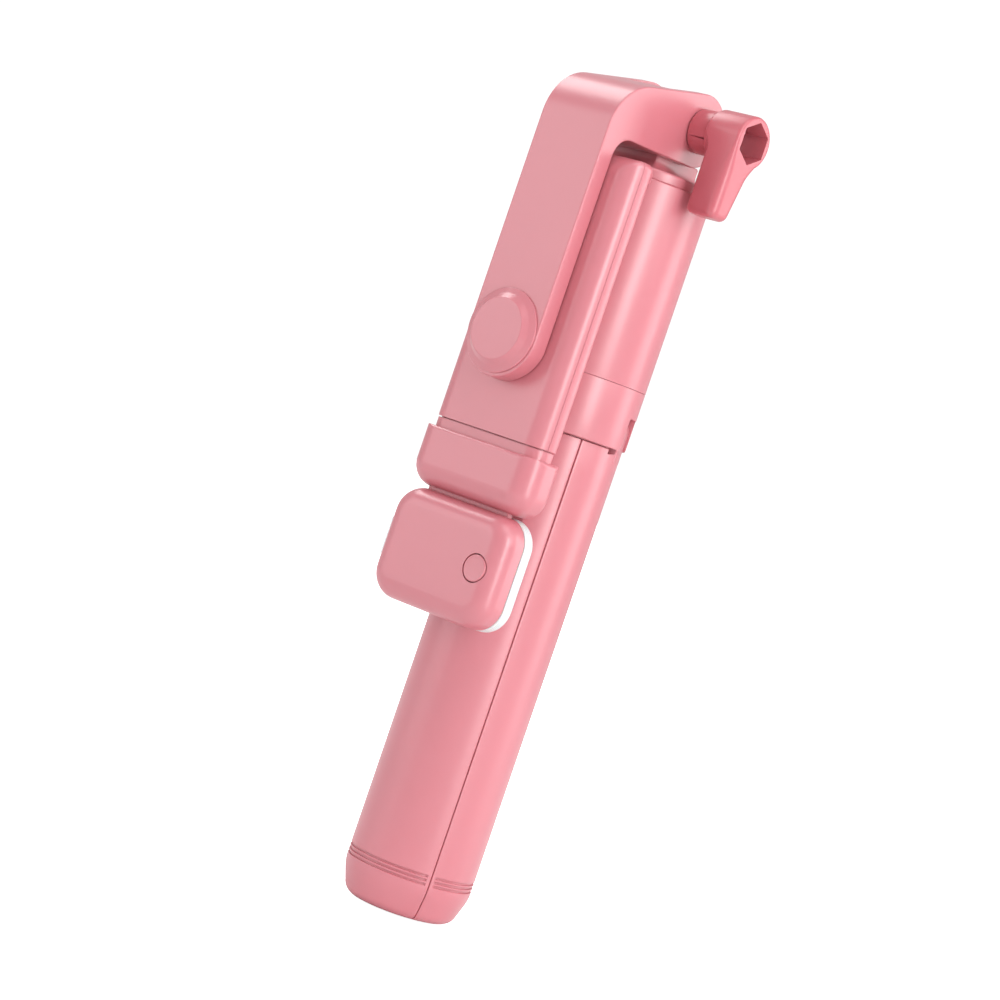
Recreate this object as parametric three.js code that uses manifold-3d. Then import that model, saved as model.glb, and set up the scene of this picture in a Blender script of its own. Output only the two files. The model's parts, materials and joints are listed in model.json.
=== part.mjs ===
// A pocket tripod selfie stick, folded: a round handle that splits into three legs, a telescopic
// pole inside it, an L-shaped arm that tilts on the pole's head, a sprung phone clamp that turns on
// the arm, and a fill light on the clamp's lower jaw.
//
// Millimetres. +Z runs up the stick, -Y is the front (arm, clamp and light), +X is the side of the
// tightening lever. The origin is the centre of the handle's bottom end.
import * as THREE from 'three';
import { mergeVertices } from 'three/addons/utils/BufferGeometryUtils.js';
import Module from 'manifold-3d';

const wasm = await Module();
wasm.setup();

// ---- driving dimensions ----
const GAP = 0.3; // clearance between two pieces that touch
const TUBE_R = 15; // handle
const HEAD_R = 15.8; // hub and head sleeve
const TUBE_SIDES = 60;

const leg = {
  top: 115.7, inner: 9.3, taper: 7, taperR: 12.66, bottomRound: 2, seamHalf: 0.17, wall: 2.2,
  pocketR: 12.8, pocketFront: 10.8, pocketLow: 9, pocketHigh: 104,
  azimuths: { front: 0, right: 120, left: 240 },
};
const groove = { heights: [9.16, 10.13, 11.1], half: 0.25, depth: 0.45, endDegrees: 4.5 };
const pin = { r: 1, radial: 11.35, z: 120.3, half: 6.5, play: 0.2 };
const knuckle = { r: 2.7, out: 0.6, half: 4.1, foot: 113 }; // its round end is a little outside the pin
const legSwing = { r: 6.1, half: 8.9 }; // hollow under the pin that lets a leg's top pass the hub
const hub = { low: 116, high: 130, chamfer: 0.3, bore: 8.8, slotHalf: 4.4, slotTop: 123.8 };

const pole = {
  radii: [8.5, 7.2, 5.9, 4.6, 3.3], wall: 0.5, sides: 32, low: 10, high: 170, lip: 1.5, travel: 135,
};
const plug = { r: 8.9, flange: 4, spigot: 7.7, top: 9.7 };

const flatY = -12.5; // flats that leave room for the two clamp lips
const legFlat = { low: 72, high: 111.5, ramp: 2.5 };
const headFlat = { low: 170.6, ramp: 2.2 };

const sleeve = { low: 130.3, high: 176.3, bore: 10.8 };
const cap = { plugR: 10.5, plugLow: 171, shoulderR: 14.9, shoulderTop: 178.9, bore: 3.6, boreTop: 179.2 };
const headPin = { r: 0.8, half: 10, z: 174 };
const tongue = { half: 5.85, front: -6.9, back: 8.5 };
const WASHER_PLAY = 0.15;

const pivot = { y: 0.5, z: 190.9, r: 8.5, bore: 2.8 }; // arm tilt axis, along X
const arm = {
  half: 10.1, endZ: 132.4, front: -30.6, back: -26, slope: 12.8, outerBend: 12.5, innerBend: 4.8,
  underside: 181.7,  slotHalf: 6.8, slotGap: 8.5, tiltMax: 200,
};
const swivel = { z: 132.9, bore: 2.3, pocketR: 4.2, pocketFloor: -27.8 }; // clamp axis, along Y
const disc = { base: 9.75, step: 7.7, face: 7.1, back: -30.9, front: -32.9 };
const bolt = { r: 2.5, from: -10.3, headLow: 16.2, headHigh: 18.9, headFlats: 7.9 };
const nut = { flats: 8, from: -10.6, to: -8.2, pocketFlats: 8.6, pocketFloor: -7.9 };
const lever = {
  stemR: 5.2, stemFrom: 10.4, from: 15.6, gripFrom: 17.6, to: 25.8, headR: 6.1, tipZ: 171.8, socketFlats: 8.7,
};

const clamp = {
  half: 17, low: 110.6, high: 178, front: -25.7, split: -22.2, back: -18.7, corner: 3, frontRound: 3.2,
  backRound: 1.8, floorFront: -24.6, floorBack: -19.8, cavityHalf: 14.6, cavityLow: 113.5, cavityHigh: 172.5,
};
const lip = { half: 12.5, tip: -12.9, upperLow: 174.3, upperHigh: 177.6, lowerLow: 104.6, lowerHigh: 108.1 };
const pad = { half: 11, thick: 0.8 };
const rod = { r: 1.25, x: 11, low: 98.3, high: 156 };
const spring = { inner: 1.6, outer: 2.1, low: 121, high: 156 };
const seat = { low: 118.4, high: 120.7, inner: 8.9, outer: 13.6 };
const coverScrew = {
  r: 0.9, headR: 1.9, boss: 2.5, x: 6, heights: [117, 166], head: -18.95, floor: -20, tip: -24.2,
};

const jaw = { half: 18, low: 94.6, high: 108.1, front: -26.9, back: -16.9, corner: 5.5, lowRound: 5 };
const neck = { half: 16.7, front: -25.3, back: -18.8, high: 110.3 };
const lightNeck = { half: 12.5, front: -22.9, back: -21.2, low: 90.6, high: 97.6 };

const light = {
  half: 18, low: 67.7, high: 94, front: -27.5, split: -20.5, diffuserFront: -20.2, back: -16.5,
  corner: 6.5, frontRound: 4.5, backRound: 1.6, wall: 1.6,
};
const button = { x: 12, z: 81, r: 3.1, hole: 3.35, face: -27.65, flangeR: 4, flangeFront: -25.7, back: -25.2 };

// ---- solids ----
const AXES = {
  x: new THREE.Matrix4().makeBasis(
    new THREE.Vector3(0, 1, 0), new THREE.Vector3(0, 0, 1), new THREE.Vector3(1, 0, 0)),
  y: new THREE.Matrix4().makeBasis(
    new THREE.Vector3(1, 0, 0), new THREE.Vector3(0, 0, 1), new THREE.Vector3(0, 1, 0)),
  z: new THREE.Matrix4(),
};

// A closed geometry as a manifold solid, with its faces turned outwards.
function solid(geometry) {
  const bare = new THREE.BufferGeometry();
  bare.setAttribute('position', geometry.getAttribute('position'));
  bare.setIndex(geometry.index);
  const merged = mergeVertices(bare, 1e-4);
  const at = merged.getAttribute('position').array;
  const faces = [];
  let volume = 0;
  const [a, b, c] = [new THREE.Vector3(), new THREE.Vector3(), new THREE.Vector3()];
  for (let i = 0; i < merged.index.count; i += 3) {
    const [p, q, r] = merged.index.array.slice(i, i + 3);
    if (p === q || q === r || r === p) continue;
    faces.push([p, q, r]);
    a.fromArray(at, 3 * p);
    b.fromArray(at, 3 * q);
    c.fromArray(at, 3 * r);
    volume += a.dot(b.cross(c));
  }
  const outward = volume < 0 ? faces.map(([p, q, r]) => [p, r, q]) : faces;
  const triVerts = Uint32Array.from(outward.flat());
  return new wasm.Manifold(new wasm.Mesh({ numProp: 3, vertProperties: Float32Array.from(at), triVerts }));
}

// An outline's corners [a, b, radius] with each radius drawn as an arc.
function rounded(corners, step = 12) {
  const points = [];
  corners.forEach(([x, y, r = 0], i) => {
    const here = new THREE.Vector2(x, y);
    const count = corners.length;
    const before = new THREE.Vector2(...corners[(i + count - 1) % count]).sub(here).normalize();
    const after = new THREE.Vector2(...corners[(i + 1) % count]).sub(here).normalize();
    const half = Math.acos(THREE.MathUtils.clamp(before.dot(after), -1, 1)) / 2;
    if (!r || half > Math.PI / 2 - 1e-3) {
      points.push(here);
      return;
    }
    const middle = before.clone().add(after).normalize().multiplyScalar(r / Math.sin(half));
    const centre = here.clone().add(middle);
    const first = before.clone().multiplyScalar(r / Math.tan(half)).add(here).sub(centre);
    const last = after.clone().multiplyScalar(r / Math.tan(half)).add(here).sub(centre);
    const turn = Math.atan2(first.cross(last), first.dot(last));
    const steps = Math.max(2, Math.ceil(Math.abs(turn) / THREE.MathUtils.degToRad(step)));
    for (let s = 0; s <= steps; s += 1) {
      points.push(first.clone().rotateAround(new THREE.Vector2(), (turn * s) / steps).add(centre));
    }
  });
  return points;
}

// An outline pushed along an axis. The outline's own axes are the other two, in the order x, y, z.
function prism(axis, points, from, to) {
  const shape = new THREE.Shape(points.map((p) => (p.isVector2 ? p : new THREE.Vector2(...p))));
  const geometry = new THREE.ExtrudeGeometry(shape, { depth: to - from, bevelEnabled: false });
  geometry.translate(0, 0, from);
  return solid(geometry.applyMatrix4(AXES[axis]));
}

function box(x0, x1, y0, y1, z0, z1) {
  return prism('z', [[x0, y0], [x1, y0], [x1, y1], [x0, y1]], z0, z1);
}

function circle(r, sides, a = 0, b = 0, start = 0) {
  return Array.from({ length: sides }, (_, i) => {
    const angle = start + (2 * Math.PI * i) / sides;
    return [a + r * Math.cos(angle), b + r * Math.sin(angle)];
  });
}

// A round bar along an axis, with its centre at (a, b) in the other two axes.
function bar(axis, r, from, to, a = 0, b = 0, sides = 24) {
  return prism(axis, circle(r, sides, a, b), from, to);
}

function hexBar(axis, flats, from, to, a, b) {
  return prism(axis, circle(flats / Math.sqrt(3), 6, a, b, Math.PI / 2), from, to);
}

// A profile of [radius, height] points turned about Z.
function turned(profile, sides = TUBE_SIDES) {
  const points = profile.map(([r, z]) => new THREE.Vector2(r, z));
  const geometry = new THREE.LatheGeometry([...points, points[0]], sides);
  return solid(geometry.rotateX(Math.PI / 2).rotateZ(Math.PI / 2));
}

// A profile of [radius, y] points turned about the line x = 0, z = height.
function turnedAboutY(profile, height, sides) {
  const points = profile.map(([r, y]) => new THREE.Vector2(r, y));
  const geometry = new THREE.LatheGeometry([...points, points[0]], sides);
  return solid(geometry.translate(0, 0, height));
}

function allOf(first, ...rest) {
  return rest.reduce((sum, next) => sum.add(next), first);
}

function cut(body, ...tools) {
  return tools.reduce((left, tool) => left.subtract(tool), body);
}

// ---- materials ----
function finish(color, roughness, metalness = 0) {
  return new THREE.MeshStandardMaterial({ color, roughness, metalness });
}

const PINK = finish(0xe6949c, 0.42);
const STEEL = finish(0xc4c6c9, 0.3, 1);
const DARK_PLASTIC = finish(0x3a3a3d, 0.5);
const RUBBER = finish(0xcf7f88, 0.8);
const WHITE = finish(0xf3f5f4, 0.4);
const GREEN_BOARD = finish(0x1f5c3c, 0.5);
const FOIL = finish(0xb9bcc2, 0.35, 0.4);

const stick = new THREE.Group();

function piece(name, body, material, parent = stick) {
  const { vertProperties, triVerts } = body.getMesh();
  const geometry = new THREE.BufferGeometry();
  geometry.setAttribute('position', new THREE.BufferAttribute(Float32Array.from(vertProperties), 3));
  geometry.setIndex(new THREE.BufferAttribute(Uint32Array.from(triVerts), 1));
  geometry.computeVertexNormals();
  const mesh = new THREE.Mesh(geometry, material);
  mesh.name = name;
  parent.add(mesh);
  return mesh;
}

// ---- handle: three legs on a hub ----
// The flat that a clamp lip passes over, with a ramp at its low end.
function lipFlat(low, high, ramp) {
  const out = -TUBE_R - 1;
  return prism('x', [[out, low - ramp], [flatY, low + ramp], [flatY, high], [out, high]], -TUBE_R, TUBE_R);
}

// The space between two seams, each moved inwards by inset.
function wedge(inset, from, to) {
  const tip = inset / Math.cos(Math.PI / 6);
  const reach = 2 * TUBE_R;
  const side = reach * Math.sin(Math.PI / 3);
  const edge = -tip - reach * Math.cos(Math.PI / 3);
  const outline = [[0, -tip], [-side, edge], [-side, edge - reach], [side, edge - reach], [side, edge]];
  return prism('z', outline, from, to);
}

function legShape(flat) {
  const corner = rounded([[leg.inner, 0], [leg.taperR, 0, leg.bottomRound], [TUBE_R, leg.taper, 3],
    [TUBE_R, leg.top], [leg.inner, leg.top]], 8);
  const round = turned(corner.map((p) => [p.x, p.y]));
  const pocket = turned([[leg.inner - 2, leg.pocketLow], [leg.pocketR, leg.pocketLow],
    [leg.pocketR, leg.pocketHigh], [leg.inner - 2, leg.pocketHigh]])
    .intersect(wedge(leg.wall, 0, leg.top))
    .intersect(box(-TUBE_R, TUBE_R, -leg.pocketFront, 0, 0, leg.top));
  const grooves = groove.heights.map((z) => turned([[TUBE_R - groove.depth, z - groove.half],
    [TUBE_R + 1, z - groove.half], [TUBE_R + 1, z + groove.half], [TUBE_R - groove.depth, z + groove.half]])
    .intersect(wedge(TUBE_R * Math.sin(THREE.MathUtils.degToRad(groove.endDegrees)), 0, leg.top)));
  const swing = bar('x', legSwing.r, -legSwing.half, legSwing.half, -pin.radial, pin.z, 48);
  const shell = cut(round.intersect(wedge(leg.seamHalf, 0, leg.top)), pocket, swing, ...grooves);
  const eyeY = -pin.radial - knuckle.out;
  const eye = allOf(bar('x', knuckle.r, -knuckle.half, knuckle.half, eyeY, pin.z),
    box(-knuckle.half, knuckle.half, eyeY - knuckle.r, eyeY + knuckle.r, knuckle.foot, pin.z));
  const whole = cut(shell.add(eye), bar('x', pin.r + pin.play, -TUBE_R, TUBE_R, -pin.radial, pin.z));
  return flat ? cut(whole, lipFlat(legFlat.low, legFlat.high, legFlat.ramp)) : whole;
}

function hubShape() {
  const ring = turned([[hub.bore, hub.low], [HEAD_R - hub.chamfer, hub.low], [HEAD_R, hub.low + hub.chamfer],
    [HEAD_R, hub.high], [hub.bore, hub.high]]);
  const cuts = Object.values(leg.azimuths).flatMap((azimuth) => [
    box(-hub.slotHalf, hub.slotHalf, -HEAD_R - 1, -hub.bore + 1, hub.low - 1, hub.slotTop),
    bar('x', pin.r + GAP, -pin.half - GAP, pin.half + GAP, -pin.radial, pin.z),
  ].map((tool) => tool.rotate([0, 0, azimuth])));
  return cut(ring, ...cuts);
}

function addHandle() {
  piece('hub_body', hubShape(), PINK);
  piece('pole_base_plug', turned([[0, 0], [plug.r, 0], [plug.r, plug.flange], [plug.spigot, plug.flange],
    [plug.spigot, plug.top], [0, plug.top]]), PINK);
  for (const [side, azimuth] of Object.entries(leg.azimuths)) {
    const turn = new THREE.Group();
    turn.rotation.z = THREE.MathUtils.degToRad(azimuth);
    stick.add(turn);
    piece(`leg_${side}`, legShape(side === 'front'), PINK, turn);
    piece(`leg_pin_${side}`, bar('x', pin.r, -pin.half, pin.half, -pin.radial, pin.z), STEEL, turn);
  }
}

// ---- telescopic pole ----
// Section 1 is held in the hub and section 5 in the head. Each mouth is rolled in, and a collar at the
// foot of the next section stops against it.
function poleSection(number) {
  const outer = pole.radii[number - 1];
  const inner = outer - pole.wall;
  const low = number === 1 ? plug.flange + GAP : pole.low;
  if (number === pole.radii.length) {
    const top = cap.boreTop - GAP;
    const tube = turned([[inner, low], [outer, low], [outer, top], [inner, top]], pole.sides);
    return cut(tube, bar('x', headPin.r + GAP, -TUBE_R, TUBE_R, 0, headPin.z, 16));
  }
  const mouth = pole.radii[number] + 0.25;
  return turned([[inner, low], [outer, low], [outer, pole.high], [mouth, pole.high],
    [mouth, pole.high - pole.lip], [inner, pole.high - pole.lip]], pole.sides);
}

function stopCollar(number) {
  const inner = pole.radii[number - 1] + 0.1;
  const outer = pole.radii[number - 2] - pole.wall - 0.15;
  const low = pole.low + 2;
  const high = pole.high - pole.lip - pole.travel - GAP;
  return turned([[inner, low], [outer, low], [outer, high], [inner, high]], pole.sides);
}

function addPole() {
  piece('pole_section_1', poleSection(1), STEEL);
  for (let number = 2; number <= pole.radii.length; number += 1) {
    piece(`pole_section_${number}`, poleSection(number), STEEL);
    piece(`stop_collar_${number}`, stopCollar(number), DARK_PLASTIC);
  }
}

// ---- head ----
function tongueShape() {
  const top = pivot.z + (tongue.back - tongue.front) / 2;
  const r = (tongue.back - tongue.front) / 2 - 0.01;
  const outline = rounded([[tongue.front, cap.shoulderTop - 1], [tongue.back, cap.shoulderTop - 1],
    [tongue.back, top, r], [tongue.front, top, r]]);
  return prism('x', outline, -tongue.half, tongue.half);
}

function addHead() {
  const flat = lipFlat(headFlat.low, cap.shoulderTop + 1, headFlat.ramp);
  const tube = turned([[sleeve.bore, sleeve.low], [HEAD_R, sleeve.low], [HEAD_R, sleeve.high],
    [sleeve.bore, sleeve.high]]);
  piece('head_sleeve', cut(tube, flat), PINK);
  const base = turned([[0, cap.plugLow], [cap.plugR, cap.plugLow], [cap.plugR, sleeve.high + GAP],
    [cap.shoulderR, sleeve.high + GAP], [cap.shoulderR, cap.shoulderTop], [0, cap.shoulderTop]]);
  piece('head_cap', cut(base.add(tongueShape()), flat,
    bar('z', cap.bore, cap.plugLow - 1, cap.boreTop, 0, 0, pole.sides),
    bar('x', headPin.r + GAP, -TUBE_R, TUBE_R, 0, headPin.z, 16),
    bar('x', pivot.bore, -TUBE_R, TUBE_R, pivot.y, pivot.z)), PINK);
  piece('head_pin', bar('x', headPin.r, -headPin.half, headPin.half, 0, headPin.z, 16), STEEL);
}

// ---- arm ----
function armOutline() {
  const slope = THREE.MathUtils.degToRad(arm.slope);
  const back = pivot.y + pivot.r;
  const topAt = (y) => pivot.z + (pivot.r + (y - pivot.y) * Math.sin(slope)) / Math.cos(slope);
  const [dy, dz] = [pivot.y - arm.back, pivot.z - arm.underside];
  const fall = Math.atan2(dz, dy) - Math.asin(pivot.r / Math.hypot(dy, dz));
  const underAtBack = arm.underside + (back - arm.back) * Math.tan(fall);
  return rounded([[arm.front, arm.endZ - arm.half], [arm.front, topAt(arm.front), arm.outerBend],
    [back, topAt(back), pivot.r], [back, underAtBack, pivot.r], [arm.back, arm.underside, arm.innerBend],
    [arm.back, arm.endZ - arm.half]], 10);
}

// The room that the tongue sweeps between the ears, from hanging down to the furthest tilt.
function tongueRoom() {
  const past = THREE.MathUtils.degToRad(arm.tiltMax - 180);
  const edge = (t) => [pivot.y - arm.slotGap * Math.cos(past) - t * Math.sin(past),
    pivot.z - arm.slotGap * Math.sin(past) + t * Math.cos(past)];
  const far = 2 * pivot.r;
  const meet = (arm.slotGap * (1 - Math.cos(past))) / Math.sin(past);
  return prism('x', [[pivot.y - arm.slotGap, pivot.z - far], [pivot.y + far, pivot.z - far],
    [pivot.y + far, pivot.z + far], edge(far * 1.1), edge(meet)], -arm.slotHalf, arm.slotHalf);
}

function armShape() {
  const front = rounded([[-arm.half, arm.endZ - arm.half, arm.half - 0.01],
    [arm.half, arm.endZ - arm.half, arm.half - 0.01], [arm.half, 220], [-arm.half, 220]], 10);
  const body = prism('x', armOutline(), -arm.half, arm.half)
    .intersect(prism('y', front, arm.front - 1, pivot.y + pivot.r + 1));
  return cut(body, tongueRoom(),
    bar('x', pivot.bore, -TUBE_R, TUBE_R, pivot.y, pivot.z),
    hexBar('x', nut.pocketFlats, -arm.half - 1, nut.pocketFloor, pivot.y, pivot.z),
    bar('y', swivel.bore, arm.front - 1, arm.back + 1, 0, swivel.z),
    bar('y', swivel.pocketR, arm.front - 1, swivel.pocketFloor, 0, swivel.z));
}

function addArm() {
  piece('arm_body', armShape(), PINK);
  piece('disc_cap', turnedAboutY([[0, disc.back], [disc.base, disc.back], [disc.base, disc.back - 0.3],
    [disc.step, disc.front + 0.4], [disc.face, disc.front], [0, disc.front]], swivel.z, 40), PINK);
  piece('pivot_nut', cut(hexBar('x', nut.flats, nut.from, nut.to, pivot.y, pivot.z),
    bar('x', pivot.bore, nut.from - 1, nut.to + 1, pivot.y, pivot.z)), STEEL);
  for (const [side, sign] of [['right', 1], ['left', -1]]) {
    const [near, far] = [tongue.half + WASHER_PLAY, arm.slotHalf - WASHER_PLAY];
    const [from, to] = sign > 0 ? [near, far] : [-far, -near];
    piece(`friction_washer_${side}`, cut(bar('x', 7, from, to, pivot.y, pivot.z, 32),
      bar('x', pivot.bore + 0.1, from - 1, to + 1, pivot.y, pivot.z)), DARK_PLASTIC);
  }
}

// ---- tightening lever with its bolt ----
function addLever() {
  const grip = prism('x', rounded([[pivot.y - lever.headR, lever.tipZ, 1.6], [0.9, lever.tipZ, 1.8],
    [3.4, 184.4, 5], [pivot.y + lever.headR - 0.9, 188.2], [pivot.y, pivot.z],
    [pivot.y - lever.headR, pivot.z]]), lever.gripFrom, lever.to);
  const body = allOf(grip, bar('x', lever.headR, lever.from, lever.to, pivot.y, pivot.z, 40),
    bar('x', lever.stemR, lever.stemFrom, lever.from + 1, pivot.y, pivot.z, 32));
  piece('knob_lever', cut(body,
    hexBar('x', lever.socketFlats, bolt.headLow - GAP, lever.to + 1, pivot.y, pivot.z),
    bar('x', pivot.bore, lever.stemFrom - 1, lever.to, pivot.y, pivot.z)), PINK);
  piece('clamp_bolt', allOf(hexBar('x', bolt.headFlats, bolt.headLow, bolt.headHigh, pivot.y, pivot.z),
    bar('x', bolt.r, bolt.from, bolt.headLow + 1, pivot.y, pivot.z)), STEEL);
}

// ---- phone clamp ----
// Everything that turns with the clamp stays inside this shape, so that its corners pass the arm.
function turningRoom() {
  return turnedAboutY([[0, clamp.front], [44.4, clamp.front], [46.6, clamp.front + 1],
    [47.6, clamp.front + 2], [48.2, clamp.split], [48.2, lip.tip], [0, lip.tip]], swivel.z, 96);
}

function clampOutline(front, back) {
  const front0 = front === clamp.front ? clamp.frontRound : 0;
  const back0 = back === clamp.back ? clamp.backRound : 0;
  const section = rounded([[-clamp.half, front, front0], [clamp.half, front, front0],
    [clamp.half, back, back0], [-clamp.half, back, back0]]);
  const face = rounded([[-clamp.half, clamp.low], [clamp.half, clamp.low],
    [clamp.half, clamp.high, clamp.corner], [-clamp.half, clamp.high, clamp.corner]]);
  return prism('z', section, clamp.low, clamp.high).intersect(prism('y', face, front, back))
    .intersect(turningRoom());
}

function bothSides(make) {
  return [-1, 1].map(make);
}

// One half of the clamp's case: walls, spring seats, rod channels and screw bosses.
function clampHalf(front, back, floorFront, floorBack) {
  const shell = clampOutline(front, back);
  const cavity = box(-clamp.cavityHalf, clamp.cavityHalf, floorFront, floorBack,
    clamp.cavityLow, clamp.cavityHigh);
  const seats = bothSides((side) => {
    const [from, to] = side > 0 ? [seat.inner, seat.outer] : [-seat.outer, -seat.inner];
    return box(from, to, floorFront, floorBack, seat.low, seat.high);
  });
  const bosses = bothSides((side) => coverScrew.heights.map((z) =>
    bar('y', coverScrew.boss, floorFront, floorBack, side * coverScrew.x, z, 20))).flat();
  const channels = bothSides((side) =>
    bar('z', rod.r + GAP, clamp.low - 1, seat.high + 1, side * rod.x, clamp.split, 20));
  return cut(allOf(cut(shell, cavity), ...[...seats, ...bosses].map((rib) => rib.intersect(shell))), ...channels);
}

function addClamp() {
  const frontBack = clamp.split - GAP / 2;
  const coverFront = clamp.split + GAP / 2;
  const screwHoles = bothSides((side) => coverScrew.heights.map((z) =>
    bar('y', coverScrew.r + GAP, coverScrew.tip - 0.2, clamp.back + 1, side * coverScrew.x, z, 16))).flat();
  const headHoles = bothSides((side) => coverScrew.heights.map((z) =>
    bar('y', coverScrew.headR + GAP, coverScrew.floor, clamp.back + 1, side * coverScrew.x, z, 20))).flat();
  const boss = bar('y', 6, clamp.floorFront, frontBack, 0, swivel.z, 32);
  piece('clamp_front_shell', cut(clampHalf(clamp.front, frontBack, clamp.floorFront, frontBack).add(boss),
    bar('y', swivel.bore, clamp.front - 1, clamp.back, 0, swivel.z), ...screwHoles), PINK);
  const upperLip = box(-lip.half, lip.half, clamp.back - 1, lip.tip, lip.upperLow, lip.upperHigh)
    .intersect(turningRoom());
  piece('clamp_back_cover', cut(clampHalf(coverFront, clamp.back, coverFront, clamp.floorBack).add(upperLip),
    ...screwHoles, ...headHoles), PINK);
  piece('upper_jaw_pad', box(-pad.half, pad.half, clamp.back + GAP, lip.tip - 0.5,
    lip.upperLow - GAP - pad.thick, lip.upperLow - GAP), RUBBER);
  for (const [side, sign] of [['right', 1], ['left', -1]]) {
    const springBar = (r, margin) => bar('z', r, spring.low - margin, spring.high + margin,
      sign * rod.x, clamp.split, 20);
    piece(`clamp_spring_${side}`, cut(springBar(spring.outer, 0), springBar(spring.inner, 1)), STEEL);
    coverScrew.heights.forEach((z, i) => piece(`cover_screw_${side}_${i + 1}`,
      allOf(bar('y', coverScrew.headR, coverScrew.floor + 0.1, coverScrew.head, sign * coverScrew.x, z, 20),
        bar('y', coverScrew.r, coverScrew.tip, coverScrew.floor + 0.2, sign * coverScrew.x, z, 16)), STEEL));
  }
  piece('swivel_screw', allOf(bar('y', 3.5, -30.5, -29, 0, swivel.z),
    bar('y', 2, -29.1, -21.2, 0, swivel.z)), STEEL);
  piece('spring_washer', cut(bar('y', 3.4, -28.7, -28.1, 0, swivel.z),
    bar('y', swivel.bore, -30, -27, 0, swivel.z)), STEEL);
}

// ---- sliding lower jaw ----
function roundedBlock(half, low, high, front, back, corners, edges) {
  const face = rounded([[-half, low, corners.low], [half, low, corners.low],
    [half, high, corners.high], [-half, high, corners.high]]);
  const side = rounded([[front, low, edges.frontLow], [back, low, edges.backLow],
    [back, high, edges.backHigh], [front, high, edges.frontHigh]]);
  return prism('y', face, front, back).intersect(prism('x', side, -half, half));
}

function addJaw() {
  const block = roundedBlock(jaw.half, jaw.low, jaw.high, jaw.front, jaw.back,
    { low: jaw.corner, high: 1 }, { frontLow: jaw.lowRound, backLow: 2, backHigh: 0.6, frontHigh: 0.8 });
  const top = box(-neck.half, neck.half, neck.front, neck.back, jaw.high - 1, neck.high);
  const lowerLip = box(-lip.half, lip.half, jaw.back - 1, lip.tip, lip.lowerLow, lip.lowerHigh);
  // Hollow that lets the open jaw and the folded handle pass each other.
  const headRoom = bar('z', HEAD_R + GAP, jaw.low, neck.high, 0, 0, TUBE_SIDES);
  const rodHoles = bothSides((side) =>
    bar('z', rod.r + GAP, rod.low - GAP, neck.high + 1, side * rod.x, clamp.split, 20));
  const socket = box(-lightNeck.half - GAP, lightNeck.half + GAP, lightNeck.front - GAP, lightNeck.back + GAP,
    jaw.low - 1, lightNeck.high + GAP);
  piece('jaw_body', cut(allOf(block, top, lowerLip), headRoom, socket, ...rodHoles), PINK);
  piece('lower_jaw_pad', cut(box(-pad.half, pad.half, jaw.back + GAP, lip.tip - 0.5,
    lip.lowerHigh + GAP, lip.lowerHigh + GAP + pad.thick), headRoom), RUBBER);
  for (const [side, sign] of [['right', 1], ['left', -1]]) {
    piece(`guide_rod_${side}`, bar('z', rod.r, rod.low, rod.high, sign * rod.x, clamp.split, 20), STEEL);
    piece(`rod_stop_${side}`,
      bar('z', spring.outer, rod.high + GAP, rod.high + 2.3, sign * rod.x, clamp.split, 20), STEEL);
  }
  piece('light_neck', box(-lightNeck.half, lightNeck.half, lightNeck.front, lightNeck.back,
    lightNeck.low, lightNeck.high), PINK);
}

// ---- fill light ----
function addLight() {
  const corners = { low: light.corner, high: light.corner };
  const front = roundedBlock(light.half, light.low, light.high, light.front, light.split, corners,
    { frontLow: light.frontRound, backLow: 0, backHigh: 0, frontHigh: light.frontRound });
  const inside = prism('y', rounded([[-1, -1], [1, -1], [1, 1], [-1, 1]].map(([a, b]) => [
    a * (light.half - light.wall), (light.low + light.high) / 2 + b * ((light.high - light.low) / 2 - light.wall),
    light.corner - light.wall])), light.front + light.wall, light.split + 1);
  const neckHole = box(-lightNeck.half - GAP, lightNeck.half + GAP, lightNeck.front - GAP,
    lightNeck.back + GAP, lightNeck.low - GAP, light.high + 1);
  const socketHole = box(-light.half - 1, -light.half + light.wall + 1, -25.8, -22.2,
    button.z - 4.7, button.z + 4.7);
  piece('light_housing', cut(front, inside, neckHole, socketHole,
    bar('y', button.hole, light.front - 1, light.front + light.wall + 1, button.x, button.z, 40)), PINK);
  const back = roundedBlock(light.half, light.low, light.high, light.diffuserFront, light.back, corners,
    { frontLow: 0, backLow: light.backRound, backHigh: light.backRound, frontHigh: 0 });
  piece('light_diffuser', back, WHITE);
  piece('light_board', box(-14.2, 14.2, -21.9, -20.9, 71.4, 89.8), GREEN_BOARD);
  piece('light_battery', box(-10, 5.5, -25.6, -22.4, 70.8, 89.6), FOIL);
  piece('button_switch', box(button.x - 2.6, button.x + 2.6, -24.6, -22.2,
    button.z - 2.6, button.z + 2.6), DARK_PLASTIC);
  piece('charge_socket', cut(box(-17.7, -10.6, -25.5, -22.5, button.z - 4.4, button.z + 4.4),
    box(-18, -12, -25, -23, button.z - 3.9, button.z + 3.9)), STEEL);
  piece('light_button', allOf(
    bar('y', button.r, button.face, button.flangeFront + 0.3, button.x, button.z, 40),
    bar('y', button.flangeR, button.flangeFront, button.back, button.x, button.z, 40)), PINK);
}

addHandle();
addPole();
addHead();
addArm();
addLever();
addClamp();
addJaw();
addLight();

export default stick;
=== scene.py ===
import json
import math

import bmesh
import bpy
from mathutils import Matrix, Vector


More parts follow.
